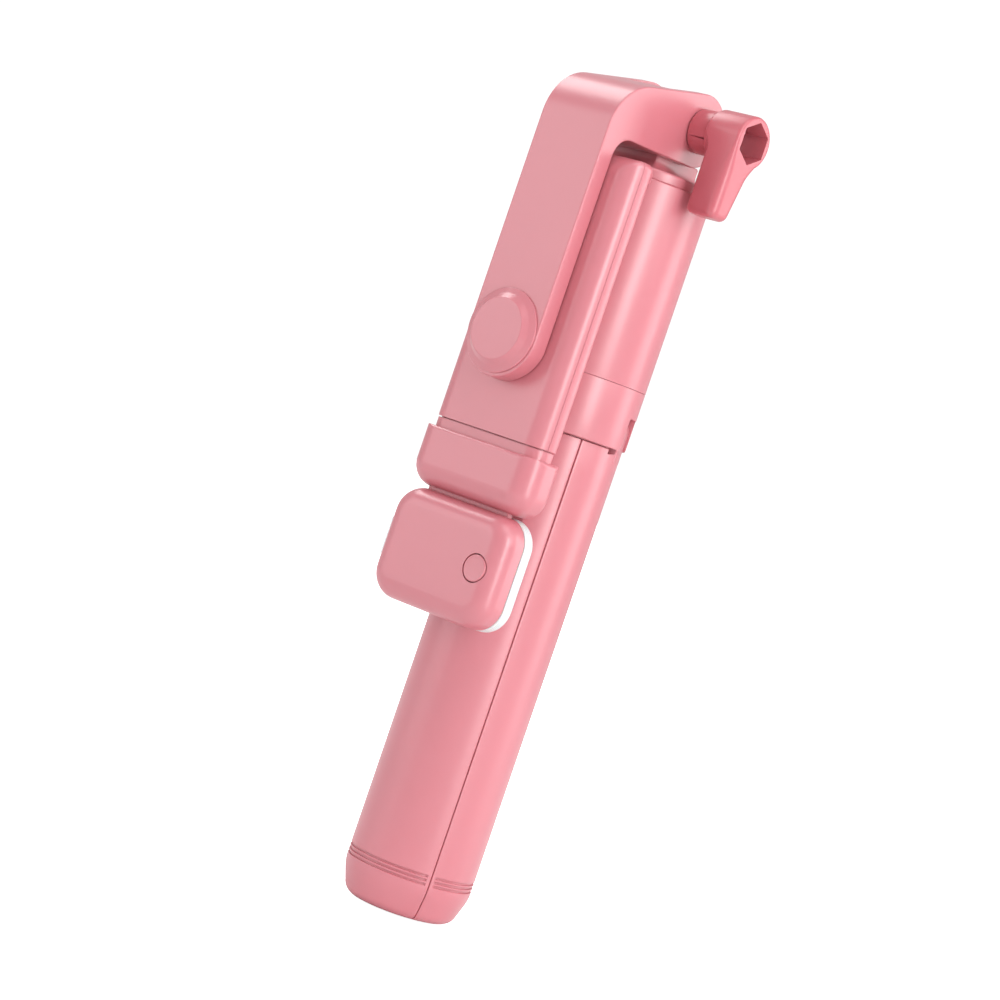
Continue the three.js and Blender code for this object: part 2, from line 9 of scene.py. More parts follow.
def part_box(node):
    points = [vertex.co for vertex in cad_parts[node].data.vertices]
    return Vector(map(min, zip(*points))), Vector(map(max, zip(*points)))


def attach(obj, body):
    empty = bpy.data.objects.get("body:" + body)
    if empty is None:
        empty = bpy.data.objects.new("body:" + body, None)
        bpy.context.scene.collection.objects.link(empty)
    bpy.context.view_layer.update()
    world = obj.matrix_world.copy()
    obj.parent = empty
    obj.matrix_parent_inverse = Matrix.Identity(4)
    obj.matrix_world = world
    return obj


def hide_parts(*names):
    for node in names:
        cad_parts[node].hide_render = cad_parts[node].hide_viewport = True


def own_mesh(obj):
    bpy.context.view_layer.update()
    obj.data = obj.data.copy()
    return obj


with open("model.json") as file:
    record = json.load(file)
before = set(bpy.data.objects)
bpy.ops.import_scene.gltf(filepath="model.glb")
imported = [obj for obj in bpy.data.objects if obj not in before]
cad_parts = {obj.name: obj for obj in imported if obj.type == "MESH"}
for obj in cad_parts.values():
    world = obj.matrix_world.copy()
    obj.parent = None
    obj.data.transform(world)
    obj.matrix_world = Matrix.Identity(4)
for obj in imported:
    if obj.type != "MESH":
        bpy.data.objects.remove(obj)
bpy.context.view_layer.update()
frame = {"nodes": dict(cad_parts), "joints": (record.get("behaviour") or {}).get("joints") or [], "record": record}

MM = 0.001
RECORD = frame["record"]
BODY_OF = {node: body for body, nodes in RECORD["behaviour"]["bodies"].items() for node in nodes}
SLOT_OF = {row["node"]: row["material_slot"] for row in RECORD["subparts"]}
JOINTS = {joint["name"]: joint for joint in frame["joints"]}

SMOOTH_ANGLE = math.radians(32)
EDGE_STEPS = 8  # bands in a rounded edge
ROUND_SIDES = 180  # sides of the largest tubes
SUPPORT = 0.12  # width of the flat band that keeps a flat face flat next to a rounded edge
AXIS_R = 1e-5  # stands for a radius of nothing, until the doubled points are merged
FIT = 0.3  # room round a piece that passes through another


# ---- places from the frame ----
class Span:
    """A CAD node's box, in millimetres."""

    def __init__(self, node):
        low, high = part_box(node)
        self.x0, self.y0, self.z0 = (c / MM for c in low)
        self.x1, self.y1, self.z1 = (c / MM for c in high)


def joint_place(name):
    return [c / MM for c in JOINTS[name]["pos_m"]]


HUB = Span("hub_body")
LEG = Span("leg_front")
SLEEVE = Span("head_sleeve")
TUBE_R = -LEG.y0
HEAD_R = HUB.x1
TILT_Y, TILT_Z = joint_place("arm_tilt")[1:]
SWIVEL_Z = joint_place("clamp_turn")[2]
PIN_Z = joint_place("leg_front_hinge")[2]
PIN_RADIAL = -joint_place("leg_front_hinge")[1]


# ---- outlines ----
def arc(centre, r, start, end, steps):
    return [(centre[0] + r * math.cos(start + (end - start) * i / steps),
             centre[1] + r * math.sin(start + (end - start) * i / steps)) for i in range(steps + 1)]


def rounded(corners, steps=6, inset=0.0):
    """The points of a closed outline with corners (a, b, radius), counterclockwise, moved inwards by inset.

    Every corner with a radius gives steps + 1 points, whatever the inset, so that rings match."""
    count = len(corners)
    points = []
    for i, (a, b, r) in enumerate(corners):
        here = Vector((a, b))
        back = (Vector(corners[i - 1][:2]) - here).normalized()
        ahead = (Vector(corners[(i + 1) % count][:2]) - here).normalized()
        turn = ahead.x * back.y - ahead.y * back.x  # positive at a convex corner
        half = max(math.acos(max(-1, min(1, back.dot(ahead)))) / 2, 1e-4)
        middle = (back + ahead).normalized()
        side = 1 if turn > 0 else -1
        moved = here + middle * side * inset / math.sin(half)
        if not r:
            points.append(tuple(moved))
            continue
        new_r = max(r - side * inset, 0.02)
        centre = moved + middle * new_r / math.sin(half)
        first = moved + back * new_r / math.tan(half) - centre
        last = moved + ahead * new_r / math.tan(half) - centre
        sweep = math.atan2(first.x * last.y - first.y * last.x, first.dot(last))
        start = math.atan2(first.y, first.x)
        points += arc(centre, new_r, start, start + sweep, steps)
    return points


def circle(r, sides, centre=(0, 0)):
    return arc(centre, r, 0, 2 * math.pi * (1 - 1 / sides), sides - 1)


def edge_inset(distance, r):
    """How far a rounded edge of radius r stands back, at a distance from the face that it ends on."""
    if distance >= r:
        return 0.0
    return r - math.sqrt(max(r * r - (r - distance) ** 2, 0))


def edge_depths(r, steps=EDGE_STEPS):
    return [r * (1 - math.cos(math.pi / 2 * i / steps)) for i in range(steps + 1)]


# ---- meshes ----
def place(axis, centre=(0, 0)):
    """From an outline's own (a, b) and a height along axis to x, y, z."""
    u, v = centre
    return {
        "x": lambda a, b, h: (h, u + a, v + b),
        "y": lambda a, b, h: (u + a, h, v + b),
        "z": lambda a, b, h: (u + a, v + b, h),
    }[axis]


def shade(obj, angle=SMOOTH_ANGLE):
    obj.data.shade_smooth()
    obj.data.set_sharp_from_angle(angle=angle)


def make(name, points, faces):
    mesh = bpy.data.meshes.new(name)
    mesh.from_pydata([[c * MM for c in p] for p in points], [], faces)
    work = bmesh.new()
    work.from_mesh(mesh)
    bmesh.ops.remove_doubles(work, verts=work.verts, dist=2e-6)
    bmesh.ops.dissolve_degenerate(work, edges=work.edges, dist=1e-6)
    bmesh.ops.recalc_face_normals(work, faces=work.faces)
    work.to_mesh(mesh)
    work.free()
    obj = bpy.data.objects.new(name, mesh)
    bpy.context.scene.collection.objects.link(obj)
    shade(obj)
    return obj


def loft(name, rings, wrap=False):
    """A closed mesh through rings of equally many points, with flat ends, or joined end to end."""
    size = len(rings[0])
    points = [p for ring in rings for p in ring]
    spans = len(rings) if wrap else len(rings) - 1
    faces = []
    for k in range(spans):
        a, b = k * size, (k + 1) % len(rings) * size
        faces += [(a + i, a + (i + 1) % size, b + (i + 1) % size, b + i) for i in range(size)]
    if not wrap:
        faces.append(tuple(range(size))[::-1])
        faces.append(tuple(range((len(rings) - 1) * size, len(rings) * size)))
    return make(name, points, faces)


def turned(name, profile, axis="z", centre=(0, 0), sides=96):
    """A closed profile of (radius, height) turned about an axis."""
    at = place(axis, centre)
    reach = [(max(r, AXIS_R), h) for r, h in profile]
    rings = []
    for i in range(sides):
        turn = 2 * math.pi * i / sides
        rings.append([at(r * math.cos(turn), r * math.sin(turn), h) for r, h in reach])
    return loft(name, rings, wrap=True)


def slab(name, corners, axis, low, high, r_low=0.3, r_high=0.3, centre=(0, 0), steps=6, edge_steps=4):
    """An outline pushed along an axis, with its two rims rounded."""
    at = place(axis, centre)
    layers = [(low, r_low + SUPPORT)]
    layers += [(low + d, edge_inset(d, r_low)) for d in edge_depths(r_low, edge_steps)]
    layers += [(high - d, edge_inset(d, r_high)) for d in reversed(edge_depths(r_high, edge_steps))]
    layers += [(high, r_high + SUPPORT)]
    return loft(name, [[at(a, b, h) for a, b in rounded(corners, steps, inset)] for h, inset in layers])


def disc(name, r, axis, low, high, centre, edge=0.2, sides=64):
    profile = rounded([(0, low, 0), (r, low, edge), (r, high, edge), (0, high, 0)], 4)
    return turned(name, profile, axis, centre, sides)


def ring(name, outer, inner, axis, low, high, centre=(0, 0), edge=0.12, sides=96):
    profile = rounded([(inner, low, edge), (outer, low, edge), (outer, high, edge), (inner, high, edge)], 3)
    return turned(name, profile, axis, centre, sides)


def soft_box(name, x, z, y, corners, front, back, steps=10):
    """A block whose outline in X and Z has rounded corners and whose front and back rims are rounded.

    x, z and y are (low, high). corners are (low, high) radii. front and back are rim radii as
    (sides, low, high)."""
    depths = {0.0}
    for rim, start, way in ((front, y[0], 1), (back, y[1], -1)):
        deepest = max(rim)
        depths |= {start + way * d - y[0] for d in edge_depths(deepest, EDGE_STEPS + 4)}
    depths = sorted(d for d in depths if 0 <= d <= y[1] - y[0])
    layers = []
    for d in depths:
        inset = [max(edge_inset(d, f), edge_inset(y[1] - y[0] - d, b)) for f, b in zip(front, back)]
        layers.append((y[0] + d, inset))
    ends = [[i + SUPPORT for i in layers[k][1]] for k in (0, -1)]
    layers = [(y[0], ends[0])] + layers + [(y[1], ends[1])]
    rings = []
    for depth, (side, low, high) in layers:
        radii = [max(corners[0] - max(side, low), 0.05), max(corners[1] - max(side, high), 0.05)]
        outline = [(x[0] + side, z[0] + low, radii[0]), (x[1] - side, z[0] + low, radii[0]),
                   (x[1] - side, z[1] - high, radii[1]), (x[0] + side, z[1] - high, radii[1])]
        rings.append([(a, depth, b) for a, b in rounded(outline, steps)])
    return loft(name, rings)


def settle(obj):
    """Turns an object's modifiers into its mesh."""
    graph = bpy.context.evaluated_depsgraph_get()
    mesh = bpy.data.meshes.new_from_object(obj.evaluated_get(graph))
    obj.modifiers.clear()
    old = obj.data
    obj.data = mesh
    bpy.data.meshes.remove(old)
    shade(obj)
    return obj


def combine(obj, tools, operation):
    for tool in tools:
        step = obj.modifiers.new("shape", "BOOLEAN")
        step.operation = operation
        step.object = tool
        step.solver = "EXACT"
    settle(obj)
    for tool in tools:
        bpy.data.objects.remove(tool)
    return obj


def carve(obj, *tools):
    return combine(obj, tools, "DIFFERENCE")


def weld(obj, *tools):
    return combine(obj, tools, "UNION")


def soften(obj, width, segments=2, angle=40):
    """A small bevel on the edges that a cut has left sharp."""
    step = obj.modifiers.new("edges", "BEVEL")
    step.width = width * MM
    step.segments = segments
    step.limit_method = "ANGLE"
    step.angle_limit = math.radians(angle)
    step.miter_outer = "MITER_ARC"
    return settle(obj)


def block(x0, x1, y0, y1, z0, z1):
    """A plain cutting block."""
    outline = [(x0, y0), (x1, y0), (x1, y1), (x0, y1)]
    return loft("cutter", [[(a, b, h) for a, b in outline] for h in (z0, z1)])


def drill(r, axis, low, high, centre, sides=64):
    at = place(axis, centre)
    return loft("cutter", [[at(a, b, h) for a, b in circle(r, sides)] for h in (low, high)])


def hexagon(flats, turn=math.pi / 2):
    r = flats / math.sqrt(3)
    return [(r * math.cos(turn + math.pi / 3 * i), r * math.sin(turn + math.pi / 3 * i), 0) for i in range(6)]


def hexagonal_hole(flats, low, high):
    """A hexagonal cutter on the tilt axis."""
    return loft("cutter", [[(x, TILT_Y + a, TILT_Z + b) for a, b, _ in hexagon(flats)] for x in (low, high)])


def turn_about_z(obj, degrees):
    obj.data.transform(Matrix.Rotation(math.radians(degrees), 4, "Z"))
    return obj


# ---- materials ----
def material(name):
    made = bpy.data.materials.new(name)
    made.use_nodes = True
    return made, made.node_tree.nodes, made.node_tree.links, made.node_tree.nodes["Principled BSDF"]


def noise(nodes, links, scale, detail=3.0, stretch=None):
    where = nodes.new("ShaderNodeTexCoord")
    source = where.outputs["Object"]
    if stretch:
        mapping = nodes.new("ShaderNodeMapping")
        mapping.inputs["Scale"].default_value = stretch
        links.new(source, mapping.inputs["Vector"])
        source = mapping.outputs["Vector"]
    texture = nodes.new("ShaderNodeTexNoise")
    texture.inputs["Scale"].default_value = scale
    texture.inputs["Detail"].default_value = detail
    links.new(source, texture.inputs["Vector"])
    return texture.outputs["Fac"]


def ramp(nodes, links, factor, low, high):
    """A colour between two, or a number if they are numbers, by a factor's usual range."""
    if isinstance(low, tuple):
        made = nodes.new("ShaderNodeValToRGB")
        made.color_ramp.elements[0].position = 0.35
        made.color_ramp.elements[1].position = 0.65
        made.color_ramp.elements[0].color = (*low, 1)
        made.color_ramp.elements[1].color = (*high, 1)
        links.new(factor, made.inputs["Fac"])
        return made.outputs["Color"]
    made = nodes.new("ShaderNodeMapRange")
    made.inputs["From Min"].default_value = 0.35
    made.inputs["From Max"].default_value = 0.65
    made.inputs["To Min"].default_value = low
    made.inputs["To Max"].default_value = high
    links.new(factor, made.inputs["Value"])
    return made.outputs["Result"]


def bump(nodes, links, shader, height, strength, distance):
    made = nodes.new("ShaderNodeBump")
    made.inputs["Strength"].default_value = strength
    made.inputs["Distance"].default_value = distance
    links.new(height, made.inputs["Height"])
    links.new(made.outputs["Normal"], shader.inputs["Normal"])


def moulded(name, colour, roughness, grain=3200.0, relief=0.00001, scatter=0.0, shift=0.02, gloss=0.5):
    """Moulded plastic: a fine spark-eroded grain, and a little drift in colour and gloss."""
    made, nodes, links, shader = material(name)
    drift = noise(nodes, links, 22.0)
    low = tuple(c * (1 - shift) for c in colour)
    high = tuple(min(c * (1 + shift), 1) for c in colour)
    links.new(ramp(nodes, links, drift, low, high), shader.inputs["Base Color"])
    fine = noise(nodes, links, grain, 2.0)
    links.new(ramp(nodes, links, fine, roughness - 0.02, roughness + 0.02), shader.inputs["Roughness"])
    bump(nodes, links, shader, fine, 0.08, relief)
    shader.inputs["IOR"].default_value = 1.48
    shader.inputs["Specular IOR Level"].default_value = gloss
    if scatter:
        shader.inputs["Subsurface Weight"].default_value = scatter
        shader.inputs["Subsurface Radius"].default_value = (1.0, 0.35, 0.3)
        shader.inputs["Subsurface Scale"].default_value = 0.0015
    return made


def metal(name, colour, roughness, brushed=None):
    made, nodes, links, shader = material(name)
    shader.inputs["Metallic"].default_value = 1.0
    streaks = noise(nodes, links, 900.0, 2.0, brushed)
    low = tuple(c * 0.93 for c in colour)
    links.new(ramp(nodes, links, streaks, low, colour), shader.inputs["Base Color"])
    links.new(ramp(nodes, links, streaks, roughness - 0.05, roughness + 0.05), shader.inputs["Roughness"])
    bump(nodes, links, shader, streaks, 0.15, 0.00001)
    return made


def milky():
    """The light's milky cover, with fine ribs that run up it."""
    made, nodes, links, shader = material("milky_diffuser")
    where = nodes.new("ShaderNodeTexCoord")
    ribs = nodes.new("ShaderNodeTexWave")
    ribs.bands_direction = "Y"
    ribs.inputs["Scale"].default_value = 520.0
    ribs.inputs["Distortion"].default_value = 0.3
    links.new(where.outputs["Object"], ribs.inputs["Vector"])
    links.new(ramp(nodes, links, ribs.outputs["Fac"], (0.6, 0.64, 0.64), (0.76, 0.79, 0.79)),
              shader.inputs["Base Color"])
    bump(nodes, links, shader, ribs.outputs["Fac"], 0.2, 0.00002)
    shader.inputs["Roughness"].default_value = 0.35
    shader.inputs["Subsurface Weight"].default_value = 0.2
    shader.inputs["Subsurface Scale"].default_value = 0.001
    return made


def circuit_board():
    made, nodes, links, shader = material("solder_mask")
    traces = nodes.new("ShaderNodeTexBrick")
    traces.inputs["Scale"].default_value = 500.0
    traces.inputs["Color1"].default_value = (0.02, 0.13, 0.06, 1)
    traces.inputs["Color2"].default_value = (0.025, 0.16, 0.075, 1)
    traces.inputs["Mortar"].default_value = (0.05, 0.28, 0.13, 1)
    where = nodes.new("ShaderNodeTexCoord")
    links.new(where.outputs["Object"], traces.inputs["Vector"])
    links.new(traces.outputs["Color"], shader.inputs["Base Color"])
    shader.inputs["Roughness"].default_value = 0.35
    return made


PINK = (0.59, 0.18, 0.214)
PAINTED_SHADE_PINK = (0.55, 0.12, 0.15)  # the lever and the light's neck, a little darker than the rest: painted shade, standing in for the lesser light and sheen that falls on them
MATERIALS = {
    "shell_plastic": moulded("pink_plastic", PINK, 0.3, scatter=0.12, gloss=1.0),
    "steel_tube": metal("polished_steel", (0.74, 0.75, 0.77), 0.16, (1, 1, 0.02)),
    "steel_hardware": metal("plated_steel", (0.6, 0.61, 0.63), 0.3),
    "dark_plastic": moulded("black_nylon", (0.03, 0.03, 0.033), 0.5),
    "jaw_rubber": moulded("pink_rubber", (0.55, 0.17, 0.2), 0.7, 1800.0, 0.00003),
    "diffuser": milky(),
    "circuit_board": circuit_board(),
    "battery_foil": metal("battery_foil", (0.7, 0.71, 0.73), 0.35),
}

# A darker, less glossy copy of the pink plastic: painted shade for the lever and the light's neck.
PAINTED_SHADE_PLASTIC = moulded("painted_shade_pink_plastic", PAINTED_SHADE_PINK, 0.33, scatter=0.12, gloss=0.8)


def stands_for(obj, node):
    """obj shows in place of a CAD node, with that node's body and material."""
    obj.name = f"{node}_detail"
    obj.data.name = obj.name
    obj.data.materials.clear()
    obj.data.materials.append(MATERIALS[SLOT_OF[node]])
    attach(obj, BODY_OF[node])
    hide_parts(node)
    return obj


# ---- handle ----
ARC_STEPS = 92
HOLLOW_STEPS = 24
SEAM_HALF = 0.1
SEAM_EDGE = 0.16
LEG_TAPER = (12.66, 7.0)  # radius at the lower end, height where the taper ends
LEG_TOP = HUB.z0 - 0.3
LEG_INNER = 9.3
LEG_WALL = 2.2
POCKET_R = 12.8
POCKET_FRONT = 10.8
POCKET = (9.0, 104.0)
GROOVES = (9.16, 10.13, 11.1)
GROOVE_HALF = 0.28
GROOVE_DEPTH = 0.5
GROOVE_END = 4.5  # degrees from a groove's end to the seam
LEG_AZIMUTHS = {"front": 0, "right": 120, "left": 240}
KNUCKLE_R = 2.7
KNUCKLE_OUT = 0.6
KNUCKLE_FOOT = 113.0
KNUCKLE_HALF = 4.1
HUB_BORE_R = 8.8
HUB_RIB_R = 14.4
SLOT_HALF = 4.4
SLOT_TOP = HUB.z0 + 7.8
SWING_R = 6.1  # the hollow at a leg's top, round its pin
SWING_HALF = 7.2
LIP_FLAT_Y = -12.5


def smooth_step(low, high, value):
    t = max(0.0, min(1.0, (value - low) / (high - low)))
    return t * t * (3 - 2 * t)


def leg_levels():
    """The leg's heights with its outside radius, from the rounded end to the top."""
    taper_r, taper_top = LEG_TAPER
    corners = [(LEG_INNER, 0, 0), (taper_r, 0, 3.2), (TUBE_R, taper_top, 10), (TUBE_R, LEG_TOP, 0)]
    outline = rounded(corners, 9)
    levels = [(z, r) for r, z in outline[1:-1]]
    for z in GROOVES:
        levels += [(z + GROOVE_HALF * s, TUBE_R) for s in (-1.15, -1, -0.8, -0.4, 0, 0.4, 0.8, 1, 1.15)]
    levels += [(13, TUBE_R), (60, TUBE_R), (LEG_TOP - 8, TUBE_R)]
    levels += [(LEG_TOP - 0.2, TUBE_R), (LEG_TOP - 0.06, TUBE_R - 0.06), (LEG_TOP, TUBE_R - 0.2)]
    return levels


def groove_depth(z, azimuth):
    nearest = min(abs(z - g) for g in GROOVES)
    across = 1 - smooth_step(GROOVE_HALF * 0.75, GROOVE_HALF * 1.1, nearest)
    along = 1 - smooth_step(60 - GROOVE_END - 0.5, 60 - GROOVE_END + 0.5, abs(azimuth))
    return GROOVE_DEPTH * across * along


def leg_section(z, outer, pocket):
    """One level of a leg: its arc, its two seam faces and its inside, which is hollow in the pocket."""
    half = math.radians(60)
    wide = math.degrees(half - math.asin((SEAM_HALF + SEAM_EDGE) / outer))
    azimuths = [-wide + 2 * wide * i / ARC_STEPS for i in range(ARC_STEPS + 1)]
    points = [(outer - groove_depth(z, azimuth), math.radians(azimuth)) for azimuth in azimuths]
    inner = min(LEG_INNER, outer - 0.5)
    bend = SEAM_EDGE * (1 - math.sqrt(0.5))
    edge = [(outer - bend, half - math.asin((SEAM_HALF + bend) / outer)),
            (outer - SEAM_EDGE, half - math.asin(SEAM_HALF / outer))]
    side = [(inner + 0.2, half - math.asin(SEAM_HALF / inner)),
            (inner, half - math.asin((SEAM_HALF + 0.2) / inner))]
    right = edge + side
    hollow = []
    for i in range(1, HOLLOW_STEPS):
        azimuth = right[-1][1] * (1 - 2 * i / HOLLOW_STEPS)
        reach = inner
        if pocket and abs(azimuth) < half - math.asin(min(1, LEG_WALL / inner)):
            reach = min(POCKET_R, POCKET_FRONT / max(math.cos(azimuth), 0.1))
        hollow.append((reach, azimuth))
    left = [(r, -a) for r, a in reversed(right)]
    whole = points + right + hollow + left
    return [(r * math.sin(a), -r * math.cos(a), z) for r, a in whole]


def leg(side):
    rings = []
    pocket_ends = [(z, TUBE_R) for z in (POCKET[0], POCKET[0] + 0.02, POCKET[1] - 0.02, POCKET[1])]
    levels = sorted(leg_levels() + pocket_ends)
    for z, outer in levels:
        rings.append(leg_section(z, outer, POCKET[0] < z < POCKET[1]))
    body = loft("leg", rings)
    pin = (-PIN_RADIAL, PIN_Z)
    top = PIN_Z + KNUCKLE_R
    outline = [(-KNUCKLE_R, KNUCKLE_FOOT, 0), (KNUCKLE_R, KNUCKLE_FOOT, 0),
               (KNUCKLE_R, top, KNUCKLE_R - 0.01), (-KNUCKLE_R, top, KNUCKLE_R - 0.01)]
    knuckle = slab("knuckle", outline, "x", -KNUCKLE_HALF, KNUCKLE_HALF, 0.35, 0.35,
                   (-PIN_RADIAL - KNUCKLE_OUT, 0), 12)
    carve(body, drill(SWING_R, "x", -SWING_HALF, SWING_HALF, pin))
    weld(body, knuckle)
    cuts = [drill(1.15, "x", -TUBE_R, TUBE_R, pin, 32)]
    if side == "front":
        cuts.append(lip_flat(72, 111.5, 2.5))
    carve(body, *cuts)
    turn_about_z(body, LEG_AZIMUTHS[side])
    stands_for(body, f"leg_{side}")


def lip_flat(low, high, ramp_length):
    out = -HEAD_R - 1
    outline = [(out, low - ramp_length), (LIP_FLAT_Y, low + ramp_length), (LIP_FLAT_Y, high), (out, high)]
    return loft("cutter", [[(x, a, b) for a, b in outline] for x in (-HEAD_R, HEAD_R)])


def hub():
    low, high = HUB.z0, HUB.z1 + 0.15
    rib_low = low - 0.2
    profile = rounded([(HUB_BORE_R, rib_low, 0.1), (HUB_RIB_R, rib_low, 0.1), (HUB_RIB_R, low, 0.02),
                       (HEAD_R, low, 0.3), (HEAD_R, high, 0.1), (HUB_BORE_R, high, 0.15)], 4)
    body = turned("hub", profile, sides=ROUND_SIDES)
    cuts = []
    for azimuth in LEG_AZIMUTHS.values():
        wide, mouth = SLOT_HALF + 2, low + 0.02
        corners = [(-wide, low - 4, 0), (wide, low - 4, 0), (wide, mouth, 0),
                   (SLOT_HALF, mouth, 1.2), (SLOT_HALF, SLOT_TOP, 0.6),
                   (-SLOT_HALF, SLOT_TOP, 0.6), (-SLOT_HALF, mouth, 1.2), (-wide, mouth, 0)]
        slot = loft("cutter", [[(a, y, b) for a, b in rounded(corners, 5)] for y in (-HEAD_R - 1, -7.8)])
        cuts.append(turn_about_z(slot, azimuth))
        cuts.append(turn_about_z(drill(1.25, "x", -6.8, 6.8, (-PIN_RADIAL, PIN_Z), 32), azimuth))
    carve(body, *cuts)
    stands_for(body, "hub_body")


def handle():
    hub()
    for side, azimuth in LEG_AZIMUTHS.items():
        leg(side)
        pin = disc("pin", 1.0, "x", -6.5, 6.5, (-PIN_RADIAL, PIN_Z), 0.2, 32)
        stands_for(turn_about_z(pin, azimuth), f"leg_pin_{side}")
    plug = Span("pole_base_plug")
    profile = rounded([(0, 0, 0), (1.4, 0, 0.2), (1.4, 0.5, 0.1), (2.4, 0.5, 0.1), (2.4, 0, 0.2),
                       (plug.x1, 0, 0.35), (plug.x1, 4, 0.3), (7.7, 4, 0.1), (7.7, plug.z1, 0.5),
                       (0, plug.z1, 0)], 4)
    stands_for(turned("plug", profile), "pole_base_plug")


# ---- pole ----
POLE_RADII = (8.5, 7.2, 5.9, 4.6, 3.3)
POLE_WALL = 0.5
MOUTH_R = 0.4


def pole():
    for number, outer in enumerate(POLE_RADII, 1):
        node = f"pole_section_{number}"
        span = Span(node)
        inner = outer - POLE_WALL
        if number < len(POLE_RADII):
            mouth = POLE_RADII[number] + 0.25
            corners = [(inner, span.z0, 0.1), (outer, span.z0, 0.15), (outer, span.z1, MOUTH_R + 0.4),
                       (mouth, span.z1, 0.2), (mouth, span.z1 - 1.5, 0.1), (inner, span.z1 - 1.5, 0.05)]
        else:
            corners = [(inner, span.z0, 0.1), (outer, span.z0, 0.15),
                       (outer, span.z1, 0.2), (inner, span.z1, 0.1)]
        stands_for(turned("tube", rounded(corners, 6)), node)
    for number in range(2, len(POLE_RADII) + 1):
        node = f"stop_collar_{number}"
        span = Span(node)
        stands_for(ring("collar", span.x1, POLE_RADII[number - 1] + 0.1, "z", span.z0, span.z1), node)


# ---- head ----
TONGUE_HALF = 5.85
TONGUE = (-6.9, 8.5)  # its front and its back
HEAD_FLAT = (170.6, 190, 2.2)  # the flat behind the upper lip: its low end, high end and ramp
HEAD_PIN_Z = 174
SLEEVE_BORE_R = 10.8
BOLT_HOLE_R = 2.8


def tongue_foot(shoulder):
    """The thicker foot of the tongue, with a hollow fillet down to the shoulder."""
    fillet = 2.4
    half, front, back = 6.65, TONGUE[0], TILT_Y + 8.4
    outline = [(-half, front, 0.5), (half, front, 0.5), (half, back, 0.5), (-half, back, 0.5)]
    levels = [(shoulder - 0.5, fillet)]
    levels += [(shoulder + d, edge_inset(d, fillet)) for d in edge_depths(fillet, 10)]
    levels += [(shoulder + 4.2, 0), (shoulder + 4.5, -0.3)]
    return loft("foot", [[(a, b, z) for a, b in rounded(outline, 6, -wider)] for z, wider in levels])


def head():
    low = SLEEVE.z0 - 0.08
    profile = rounded([(SLEEVE_BORE_R, low, 0.2), (HEAD_R, low, 0.1),
                       (HEAD_R, SLEEVE.z1, 0.35), (SLEEVE_BORE_R, SLEEVE.z1, 0.2)], 5)
    tube = turned("sleeve", profile, sides=ROUND_SIDES)
    stands_for(carve(tube, lip_flat(*HEAD_FLAT)), "head_sleeve")
    cap = Span("head_cap")
    shoulder_low, shoulder_high = SLEEVE.z1 + 0.02, cap.z0 + 7.9
    profile = rounded([(0, cap.z0, 0), (10.5, cap.z0, 0.4), (10.5, shoulder_low, 0.1),
                       (cap.x1, shoulder_low, 0.25), (cap.x1, shoulder_high, 0.7), (0, shoulder_high, 0)], 5)
    base = turned("cap", profile, sides=ROUND_SIDES)
    front, back = TONGUE
    half = (back - front) / 2
    corners = [(front, shoulder_high - 1, 0), (back, shoulder_high - 1, 0),
               (back, TILT_Z + half, half - 0.01), (front, TILT_Z + half, half - 0.01)]
    tongue = slab("tongue", corners, "x", -TONGUE_HALF, TONGUE_HALF, 0.9, 0.9, steps=24)
    weld(base, tongue, tongue_foot(shoulder_high))
    carve(base, lip_flat(*HEAD_FLAT), drill(3.6, "z", cap.z0 - 1, 179.2, (0, 0)),
          drill(BOLT_HOLE_R, "x", -8, 8, (TILT_Y, TILT_Z)), drill(1.05, "x", -12, 12, (0, HEAD_PIN_Z), 32))
    stands_for(base, "head_cap")
    pin = Span("head_pin")
    stands_for(disc("pin", pin.z1 - HEAD_PIN_Z, "x", pin.x0, pin.x1, (0, HEAD_PIN_Z), 0.15, 32), "head_pin")


# ---- arm ----
ARM = Span("arm_body")
ARM_HALF = ARM.x1
ARM_BACK = -26.0
ARM_END_Z = ARM.z0 + ARM_HALF
ARM_EDGE = 0.4
EAR_R = 8.5
SWIVEL_HOLE_R = 2.3
SWIVEL_FLOOR_Y = -27.8  # the floor of the pocket under the disc cap
TOP_SLOPE = math.radians(12.8)
OUTER_BEND = 12.5
INNER_BEND = 4.8
UNDERSIDE = 181.7
TILT_PAST = math.radians(JOINTS["arm_tilt"]["range_deg"][1] - 180)


def arm_corners(bottom):
    back = TILT_Y + EAR_R

    def top(y):
        return TILT_Z + (EAR_R + (y - TILT_Y) * math.sin(TOP_SLOPE)) / math.cos(TOP_SLOPE)

    dy, dz = TILT_Y - ARM_BACK, TILT_Z - UNDERSIDE
    fall = math.atan2(dz, dy) - math.asin(EAR_R / math.hypot(dy, dz))
    under = UNDERSIDE + (back - ARM_BACK) * math.tan(fall)
    return [(ARM.y0, bottom, ARM_EDGE), (ARM_BACK, bottom, ARM_EDGE), (ARM_BACK, UNDERSIDE, INNER_BEND),
            (back, under, EAR_R - 0.01), (back, top(back), EAR_R - 0.01), (ARM.y0, top(ARM.y0), OUTER_BEND)]


